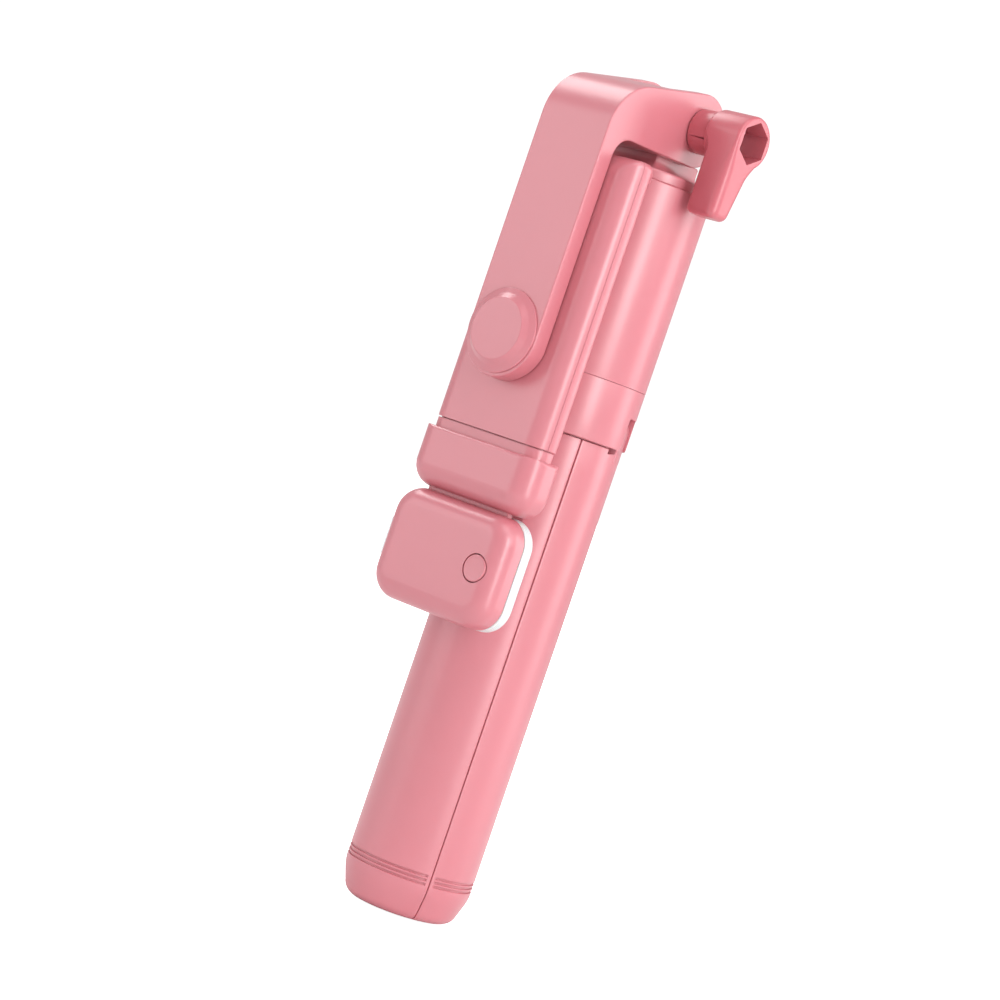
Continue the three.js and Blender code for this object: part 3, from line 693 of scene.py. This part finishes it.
def arm():
    edge = edge_depths(ARM_EDGE)
    xs = [-ARM_HALF + d for d in edge]
    flat = ARM_HALF - ARM_EDGE
    xs += [-flat * math.cos(math.pi * i / 24) for i in range(1, 24)]
    xs += [ARM_HALF - d for d in reversed(edge)]
    rings = []
    for x in xs:
        bottom = ARM_END_Z - math.sqrt(max(ARM_HALF ** 2 - x * x, 0))
        inset = edge_inset(ARM_HALF - abs(x), ARM_EDGE)
        rings.append([(x, a, b) for a, b in rounded(arm_corners(bottom - inset), 16, inset)])
    first = [(xs[0], a, b) for a, b in rounded(arm_corners(ARM_END_Z - ARM_EDGE), 16, ARM_EDGE + SUPPORT)]
    last = [(xs[-1], a, b) for _, a, b in first]
    body = loft("arm", [first] + rings + [last])
    swivel_at = (0, SWIVEL_Z)
    carve(body, tongue_room(), drill(BOLT_HOLE_R, "x", -15, 15, (TILT_Y, TILT_Z)),
          hexagonal_hole(8.6, -ARM_HALF - 1, -7.9),
          drill(SWIVEL_HOLE_R, "y", ARM.y0 - 1, ARM_BACK + 1, swivel_at),
          drill(4.2, "y", ARM.y0 - 1, SWIVEL_FLOOR_Y, swivel_at))
    stands_for(body, "arm_body")
    cap = Span("disc_cap")
    foot = ARM.y0 - 0.02
    rise = rounded([(0, foot, 0), (cap.x1, foot, 0.05), (cap.x1, foot - 0.4, 0.15), (8.3, foot - 1.1, 2.0),
                    (7.1, cap.y0, 0.35), (0, cap.y0, 0)], 8)
    stands_for(turned("disc", rise, "y", (0, SWIVEL_Z), 128), "disc_cap")
    nut = Span("pivot_nut")
    body = slab("nut", hexagon(8), "x", nut.x0, nut.x1, 0.25, 0.25, (TILT_Y, TILT_Z), 1)
    stands_for(carve(body, drill(2.55, "x", nut.x0 - 1, nut.x1 + 1, (TILT_Y, TILT_Z))), "pivot_nut")
    for side in ("right", "left"):
        node = f"friction_washer_{side}"
        span = Span(node)
        stands_for(ring("washer", 7, 2.9, "x", span.x0, span.x1, (TILT_Y, TILT_Z)), node)


def tongue_room():
    gap = EAR_R
    far = 2 * EAR_R

    def edge(t):
        return (TILT_Y - gap * math.cos(TILT_PAST) - t * math.sin(TILT_PAST),
                TILT_Z - gap * math.sin(TILT_PAST) + t * math.cos(TILT_PAST))

    meet = gap * (1 - math.cos(TILT_PAST)) / math.sin(TILT_PAST)
    outline = [(TILT_Y - gap, TILT_Z - far), (TILT_Y + far, TILT_Z - far), (TILT_Y + far, TILT_Z + far),
               edge(far * 1.1), edge(meet)]
    return loft("cutter", [[(x, a, b) for a, b in outline] for x in (-6.8, 6.8)])


# ---- lever ----
LEVER = Span("knob_lever")
LEVER_HEAD_R = 6.1
STEM_R = 5.2
LEVER_FROM = LEVER.x0 + 5.2
LEVER_STEP = 2.1  # how far the lever's arm stands back from its head, on the inside
LEVER_BACK = (0.9, 4.7)  # where the arm's back is, at its tip and at the head's middle


def lever_section(z, end_inset):
    """The lever's arm at a height: a rounded oblong that grows into the round head."""
    rise = (z - LEVER.z0) / (TILT_Z - LEVER.z0)
    swell = smooth_step(TILT_Z - 9, TILT_Z, z)
    back = LEVER_BACK[0] + (LEVER_BACK[1] - LEVER_BACK[0]) * rise
    back += (TILT_Y + LEVER_HEAD_R - LEVER_BACK[1]) * swell
    inner = LEVER_FROM + LEVER_STEP * (1 - smooth_step(TILT_Z - 4.6, TILT_Z + 0.6, z))
    front = TILT_Y - LEVER_HEAD_R
    soft = 2.2 - 1.4 * swell
    outline = [(inner, front, 1.1), (LEVER.x1, front, soft), (LEVER.x1, back, soft), (inner, back, 1.1)]
    return [(a, b, z) for a, b in rounded(outline, 8, end_inset)]


def lever_arm():
    end_r = 1.7
    rings = [lever_section(LEVER.z0, end_r * 0.9)]
    rings += [lever_section(LEVER.z0 + d, edge_inset(d, end_r) * 0.85) for d in edge_depths(end_r, 8)]
    first = LEVER.z0 + end_r
    steps = 40
    rings += [lever_section(first + (TILT_Z - first) * i / steps, 0) for i in range(1, steps + 1)]
    return loft("lever", rings)


def lever():
    centre = (TILT_Y, TILT_Z)
    body = slab("head", [(a, b, 0) for a, b in circle(LEVER_HEAD_R, 96)], "x", LEVER_FROM, LEVER.x1, 1.1, 0.8,
                centre, edge_steps=6)
    stem = turned("stem", rounded([(0, LEVER.x0, 0), (STEM_R, LEVER.x0, 0.3), (STEM_R, LEVER_FROM + 1, 0.1),
                                   (0, LEVER_FROM + 1, 0)], 4), "x", centre, 96)
    weld(body, lever_arm(), stem)
    socket = hexagonal_hole(8.7, 15.9, LEVER.x1 + 1)
    carve(body, socket, drill(BOLT_HOLE_R, "x", LEVER.x0 - 1, 17, centre))
    soften(body, 0.25)
    # The lever gets the darker copy of the pink plastic: painted shade.
    stands_for(body, "knob_lever").data.materials[0] = PAINTED_SHADE_PLASTIC
    bolt = Span("clamp_bolt")
    shank = disc("bolt", 2.5, "x", bolt.x0, bolt.x1 - 1, (TILT_Y, TILT_Z), 0.3)
    cap = slab("head", hexagon(7.9), "x", 16.2, bolt.x1, 0.2, 0.35, (TILT_Y, TILT_Z), 1)
    stands_for(weld(shank, cap), "clamp_bolt")


# ---- phone clamp ----
FRONT = Span("clamp_front_shell")
COVER = Span("clamp_back_cover")
CLAMP_HALF = FRONT.x1
CLAMP_FRONT_R = 5.0
CLAMP_BACK = -18.7
CLAMP_BACK_R = 1.3
CLAMP_CORNER = 1.6
CLAMP_JOIN = 0.05  # half the gap between the two shells
ROD_X = 11.0
ROD_R = 1.25
SPLIT_Y = (FRONT.y1 + COVER.y0) / 2
SCREW_X = 6.0
SCREW_ZS = (117.0, 166.0)
LIP_HALF = 12.5
CAVITY_HALF = 14.6
CAVITY_Z = (113.5, 172.5)


def clamp_layer(y):
    """How far the clamp's rim stands back at a depth: its sides and its top."""
    front = y - FRONT.y0
    back = CLAMP_BACK - y
    join = edge_inset(abs(y - SPLIT_Y) - CLAMP_JOIN, 0.07)
    side = max(edge_inset(front, CLAMP_FRONT_R), edge_inset(back, CLAMP_BACK_R), join)
    top = max(edge_inset(front, CLAMP_FRONT_R - 1), edge_inset(back, 1.0), join)
    return side, top


def clamp_shell(name, front, back):
    depths = [FRONT.y0 + d for d in edge_depths(CLAMP_FRONT_R, 14)]
    depths += [CLAMP_BACK - d for d in edge_depths(CLAMP_BACK_R)]
    depths += [SPLIT_Y + way * (CLAMP_JOIN + d) for way in (-1, 1) for d in (0.02, 0.07)]
    depths = sorted({front, back, *(d for d in depths if front < d < back)})
    layers = [(y, *clamp_layer(y)) for y in depths]
    first, last = ([y, side + SUPPORT, top + SUPPORT] for y, side, top in (layers[0], layers[-1]))
    layers = [first] + layers + [last]
    rings = []
    for y, side, top in layers:
        r = max(CLAMP_CORNER - max(side, top) * 0.5, 0.8)
        outline = [(-CLAMP_HALF + side, FRONT.z0, 0.15), (CLAMP_HALF - side, FRONT.z0, 0.15),
                   (CLAMP_HALF - side, FRONT.z1 - top, r), (-CLAMP_HALF + side, FRONT.z1 - top, r)]
        rings.append([(a, y, b) for a, b in rounded(outline, 10)])
    return loft(name, rings)


def both_sides(make_one):
    return [make_one(side) for side in (-1, 1)]


def rod_holes(low, high):
    return both_sides(lambda s: drill(ROD_R + FIT, "z", low, high, (s * ROD_X, SPLIT_Y), 32))


def screw_hole(side, z, r, low, high):
    return drill(r, "y", low, high, (side * SCREW_X, z), 32)


def clamp():
    front = clamp_shell("front", FRONT.y0, SPLIT_Y - CLAMP_JOIN)
    hollow = block(-CAVITY_HALF, CAVITY_HALF, -24.6, FRONT.y1 + 1, *CAVITY_Z)
    carve(front, hollow)
    weld(front, disc("boss", 6, "y", -25, FRONT.y1, (0, SWIVEL_Z), 0.1))
    carve(front, drill(2.3, "y", FRONT.y0 - 1, -20, (0, SWIVEL_Z)),
          *rod_holes(110, 114))
    stands_for(front, "clamp_front_shell")

    cover = clamp_shell("cover", SPLIT_Y + CLAMP_JOIN, CLAMP_BACK)
    lip = soft_box("lip", (-LIP_HALF, LIP_HALF), (174.3, COVER.z1 - 0.4), (CLAMP_BACK - 0.6, COVER.y1),
                   (0.6, 1.2), (0.1,) * 3, (1.0, 0.5, 0.9))
    weld(cover, lip)
    hollow = block(-CAVITY_HALF, CAVITY_HALF, COVER.y0 - 1, -19.8, *CAVITY_Z)
    cuts = rod_holes(110, 114)
    for z in SCREW_ZS:
        cuts += both_sides(lambda s: screw_hole(s, z, 2.15, -20, -18))
        cuts += both_sides(lambda s: screw_hole(s, z, 1.2, -23, -18))
    carve(cover, hollow, *cuts)
    stands_for(cover, "clamp_back_cover")
    swivel()
    screws()
    springs()
    pads()


def swivel():
    screw = Span("swivel_screw")
    head_profile = rounded([(0, screw.y0, 0), (3.5, screw.y0, 0.7), (3.5, -29, 0.1), (2, -29, 0.05),
                            (2, screw.y1, 0.3), (0, screw.y1, 0)], 5)
    stands_for(turned("screw", head_profile, "y", (0, SWIVEL_Z), 64), "swivel_screw")
    span = Span("spring_washer")
    stands_for(ring("washer", span.x1, 2.3, "y", span.y0, span.y1, (0, SWIVEL_Z)), "spring_washer")


def screws():
    for side, sign in (("right", 1), ("left", -1)):
        for number, z in enumerate(SCREW_ZS, 1):
            node = f"cover_screw_{side}_{number}"
            span = Span(node)
            at = (sign * SCREW_X, z)
            profile = rounded([(0, span.y0, 0), (0.9, span.y0 + 0.9, 0.1), (0.9, -19.9, 0.05),
                               (1.9, -19.9, 0.1), (1.9, span.y1, 0.5), (0, span.y1, 0)], 4)
            body = turned("screw", profile, "y", at, 48)
            slots = [block(at[0] - w, at[0] + w, span.y1 - 0.5, span.y1 + 1, z - h, z + h)
                     for w, h in ((1.1, 0.2), (0.2, 1.1))]
            stands_for(carve(body, *slots), node)


COIL_TURNS = 13
WIRE_R = 0.26


def springs():
    for side in ("right", "left"):
        node = f"clamp_spring_{side}"
        span = Span(node)
        centre = ((span.x0 + span.x1) / 2, (span.y0 + span.y1) / 2)
        r = (span.x1 - span.x0) / 2 - WIRE_R
        low, high = span.z0 + WIRE_R, span.z1 - WIRE_R
        steps = COIL_TURNS * 20
        rings = []
        for i in range(steps + 1):
            turn = 2 * math.pi * COIL_TURNS * i / steps
            out = Vector((math.cos(turn), math.sin(turn), 0))
            middle = Vector((*centre, low + (high - low) * i / steps)) + out * r
            rings.append([tuple(middle + out * a + Vector((0, 0, b))) for a, b in circle(WIRE_R, 8)])
        coil = stands_for(loft("coil", rings), node)
        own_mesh(coil)


def head_room():
    """The hollow in the lower lip that lets the open jaw and the folded handle pass each other."""
    return drill(HEAD_R + FIT, "z", JAW.z0, JAW.z1, (0, 0), ROUND_SIDES)


def pads():
    for node in ("upper_jaw_pad", "lower_jaw_pad"):
        span = Span(node)
        pad = soft_box("pad", (span.x0, span.x1), (span.z0, span.z1), (span.y0, PAD_TIP), (0.15, 0.15),
                       (0.3,) * 3, (0.3,) * 3)
        grooves = []
        for i in range(1, 12):
            x = span.x0 + (span.x1 - span.x0) * i / 12
            face = span.z0 if node.startswith("upper") else span.z1
            grooves.append(block(x - 0.25, x + 0.25, span.y0 - 1, PAD_TIP + 1, face - 0.25, face + 0.25))
        if node.startswith("lower"):
            grooves.append(head_room())
        stands_for(carve(pad, *grooves), node)


# ---- lower jaw and light ----
JAW = Span("jaw_body")
JAW_BLOCK_TOP = 108.1
JAW_BACK = -16.9
NECK_HALF = 16.7
LIP_TIP = -12.9
PAD_TIP = LIP_TIP - 0.5
LIGHT = Span("light_housing")
DIFFUSER = Span("light_diffuser")
BUTTON = Span("light_button")
LIGHT_CORNER = 6.5
LIGHT_WALL = 1.6
PORT_HALF = (1.8, 4.7)
PORT_CORNER = 1.75
BUTTON_R = 3.1
BUTTON_HOLE_R = 3.35
FLANGE_Y = -25.7


def jaw():
    body = soft_box("jaw", (JAW.x0, JAW.x1), (JAW.z0, JAW_BLOCK_TOP), (JAW.y0, JAW_BACK), (5.5, 1.0),
                    (5.2, 5.0, 0.9), (2.2, 2.0, 0.6), 12)
    lip = soft_box("lip", (-LIP_HALF, LIP_HALF), (104.6, JAW_BLOCK_TOP - 0.01), (JAW_BACK - 0.6, LIP_TIP),
                   (1.2, 0.5), (0.1,) * 3, (1.0, 0.9, 0.4))
    neck = soft_box("neck", (-NECK_HALF, NECK_HALF), (JAW_BLOCK_TOP - 2, JAW.z1), (-25.3, -18.8), (0.1, 0.1),
                    (4.2, 0.1, 0.1), (1.3, 0.1, 0.1))
    core = soft_box("core", (-16.2, 16.2), (JAW.z1 - 2, JAW.z1 + 0.28), (-24.7, -19.3), (0.1, 0.1),
                    (4.0, 0.1, 0.1), (1.2, 0.1, 0.1))
    weld(body, neck, core, lip)
    carve(body, head_room())
    joint = Span("light_neck")
    carve(body, neck_room(joint, JAW.z0 - 1, joint.z1 + FIT), *rod_holes(98, 112))
    stands_for(body, "jaw_body")
    for side in ("right", "left"):
        rod = Span(f"guide_rod_{side}")
        centre = ((rod.x0 + rod.x1) / 2, (rod.y0 + rod.y1) / 2)
        stands_for(disc("rod", ROD_R, "z", rod.z0, rod.z1, centre, 0.25, 48), f"guide_rod_{side}")
        node = f"rod_stop_{side}"
        stop = Span(node)
        stands_for(disc("stop", (stop.x1 - stop.x0) / 2, "z", stop.z0, stop.z1, centre, 0.3, 48), node)
    strip = soft_box("strip", (joint.x0, joint.x1), (joint.z0, joint.z1), (joint.y0, joint.y1), (0.3, 0.3),
                     (0.2,) * 3, (0.2,) * 3)
    # The light's neck gets the darker copy of the pink plastic: painted shade.
    stands_for(strip, "light_neck").data.materials[0] = PAINTED_SHADE_PLASTIC


def neck_room(joint, low, high):
    """The cutter for the pocket that the light's neck stands in."""
    return block(joint.x0 - FIT, joint.x1 + FIT, joint.y0 - FIT, joint.y1 + FIT, low, high)


def light_box():
    z = (LIGHT.z0, LIGHT.z1)
    x = (LIGHT.x0, LIGHT.x1)
    body = soft_box("housing", x, z, (LIGHT.y0, LIGHT.y1), (LIGHT_CORNER,) * 2, (4.5,) * 3, (0.15,) * 3, 16)
    inner_x = (LIGHT.x0 + LIGHT_WALL, LIGHT.x1 - LIGHT_WALL)
    inner_z = (LIGHT.z0 + LIGHT_WALL, LIGHT.z1 - LIGHT_WALL)
    inside = soft_box("cutter", inner_x, inner_z, (LIGHT.y0 + LIGHT_WALL, LIGHT.y1 + 2),
                      (LIGHT_CORNER - LIGHT_WALL,) * 2, (3.0,) * 3, (0.1,) * 3)
    centre = ((BUTTON.x0 + BUTTON.x1) / 2, (BUTTON.z0 + BUTTON.z1) / 2)
    joint = Span("light_neck")
    wide, high = PORT_HALF
    port = slab("cutter", [(-wide, -high, PORT_CORNER), (wide, -high, PORT_CORNER), (wide, high, PORT_CORNER),
                           (-wide, high, PORT_CORNER)], "x",
                LIGHT.x0 - 1, LIGHT.x0 + 2.6, 0.05, 0.05, (-24, centre[1]))
    carve(body, inside, port, drill(BUTTON_HOLE_R, "y", LIGHT.y0 - 1, LIGHT.y0 + 3, centre, 96),
          neck_room(joint, joint.z0 - FIT, LIGHT.z1 + 1))
    stands_for(body, "light_housing")
    diffuser = soft_box("diffuser", x, z, (DIFFUSER.y0, DIFFUSER.y1), (LIGHT_CORNER,) * 2,
                        (0.15,) * 3, (1.6,) * 3, 16)
    stands_for(diffuser, "light_diffuser")
    button(centre)


def button(centre):
    """A cap with a dished top and a flange behind it.

    The flange crosses the housing's inner corner, out of sight."""
    flange_r = BUTTON.x1 - centre[0]
    profile = rounded([(0, BUTTON.y0 + 0.12, 0), (2.4, BUTTON.y0 + 0.1, 1.4), (BUTTON_R, BUTTON.y0, 0.3),
                       (BUTTON_R, FLANGE_Y, 0.05), (flange_r, FLANGE_Y, 0.1), (flange_r, BUTTON.y1, 0.2),
                       (0, BUTTON.y1, 0)], 6)
    stands_for(turned("button", profile, "y", centre, 96), "light_button")


def insides():
    """The light's inner parts keep their CAD shape and get their material."""
    for node in ("light_board", "light_battery", "button_switch", "charge_socket"):
        obj = frame["nodes"][node]
        obj.data.materials.clear()
        obj.data.materials.append(MATERIALS[SLOT_OF[node]])


# ---- stage ----
AZIMUTH = math.radians(39.5)  # the camera's, as seen from the stick
DISTANCE = 709.0
EYE_Z = 107.9
AIM_Z = 96.6
AIM_SIDE = -8.0
LEAN = math.radians(18.9)
FOCAL = 110.9
SENSOR = 36.0


def camera():
    out = Vector((math.sin(AZIMUTH), -math.cos(AZIMUTH), 0))
    right = Vector((math.cos(AZIMUTH), math.sin(AZIMUTH), 0))
    eye = out * DISTANCE + Vector((0, 0, EYE_Z))
    aim = right * AIM_SIDE + Vector((0, 0, AIM_Z))
    ahead = (aim - eye).normalized()
    level = ahead.cross(Vector((0, 0, 1))).normalized()
    up = level.cross(ahead)
    across = level * math.cos(LEAN) + up * math.sin(LEAN)
    over = up * math.cos(LEAN) - level * math.sin(LEAN)
    data = bpy.data.cameras.new("view")
    data.sensor_width = SENSOR
    data.lens = FOCAL
    data.clip_start = 0.01
    data.clip_end = 50
    obj = bpy.data.objects.new("view", data)
    turn = Matrix((across, over, -ahead)).transposed().to_4x4()
    obj.matrix_world = Matrix.Translation(eye * MM) @ turn
    bpy.context.scene.collection.objects.link(obj)
    bpy.context.scene.camera = obj


LIGHT_DISTANCE = 1.3  # metres
STICK_MIDDLE = Vector((0, 0, 0.1))  # metres
STUDIO_LIGHTS = [  # name, azimuth, elevation, size in metres, power
    ("key", 100, 30, (0.6, 1.0), 3),
    ("near strip", 74, 8, (0.36, 1.5), 12),
    ("far strip", 140, 8, (0.5, 1.5), 6.5),
    ("front", -38, 8, (0.8, 1.0), 4),
    ("top", 60, 65, (0.8, 0.8), 3.5),
    ("top left", -88, 48, (0.7, 0.4), 4),
]


def studio_light(name, azimuth, elevation, size, power):
    """A rectangular area light that looks at the middle of the stick."""
    a, e = math.radians(azimuth), math.radians(elevation)
    out = Vector((math.sin(a) * math.cos(e), -math.cos(a) * math.cos(e), math.sin(e)))
    at = STICK_MIDDLE + LIGHT_DISTANCE * out
    data = bpy.data.lights.new(name, "AREA")
    data.shape = "RECTANGLE"
    data.size, data.size_y = size
    data.energy = power
    obj = bpy.data.objects.new(name, data)
    aim = (STICK_MIDDLE - at).to_track_quat("-Z", "Y")
    obj.matrix_world = Matrix.Translation(at) @ aim.to_matrix().to_4x4()
    bpy.context.scene.collection.objects.link(obj)


def studio():
    scene = bpy.context.scene
    scene.view_settings.view_transform = "Standard"
    world = bpy.data.worlds.new("studio")
    world.use_nodes = True
    scene.world = world
    nodes, links = world.node_tree.nodes, world.node_tree.links
    back = nodes["Background"]
    back.inputs["Color"].default_value = (1, 1, 1, 1)
    back.inputs["Strength"].default_value = 0.6
    seen = nodes.new("ShaderNodeBackground")
    seen.inputs["Color"].default_value = (1, 1, 1, 1)
    seen.inputs["Strength"].default_value = 1.05
    path = nodes.new("ShaderNodeLightPath")
    mix = nodes.new("ShaderNodeMixShader")
    links.new(path.outputs["Is Camera Ray"], mix.inputs["Fac"])
    links.new(back.outputs["Background"], mix.inputs[1])
    links.new(seen.outputs["Background"], mix.inputs[2])
    links.new(mix.outputs["Shader"], nodes["World Output"].inputs["Surface"])
    for row in STUDIO_LIGHTS:
        studio_light(*row)


FLOOR_HALF = 6.0  # metres
FLOOR_Z = -0.0005  # metres


def floor():
    """A pale floor that shines only for the camera, so it doesn't light the stick."""
    half = FLOOR_HALF
    mesh = bpy.data.meshes.new("floor")
    corners = [(-half, -half), (half, -half), (half, half), (-half, half)]
    mesh.from_pydata([(x, y, FLOOR_Z) for x, y in corners], [], [(0, 1, 2, 3)])
    obj = bpy.data.objects.new("floor", mesh)
    bpy.context.scene.collection.objects.link(obj)
    made, nodes, links, shader = material("pale_floor")
    shader.inputs["Base Color"].default_value = (0.9, 0.9, 0.9, 1)
    shader.inputs["Roughness"].default_value = 0.9
    shader.inputs["Emission Color"].default_value = (1, 1, 1, 1)
    path = nodes.new("ShaderNodeLightPath")
    links.new(path.outputs["Is Camera Ray"], shader.inputs["Emission Strength"])
    mesh.materials.append(made)


camera()
studio()
floor()
handle()
pole()
head()
arm()
lever()
clamp()
jaw()
light_box()
insides()
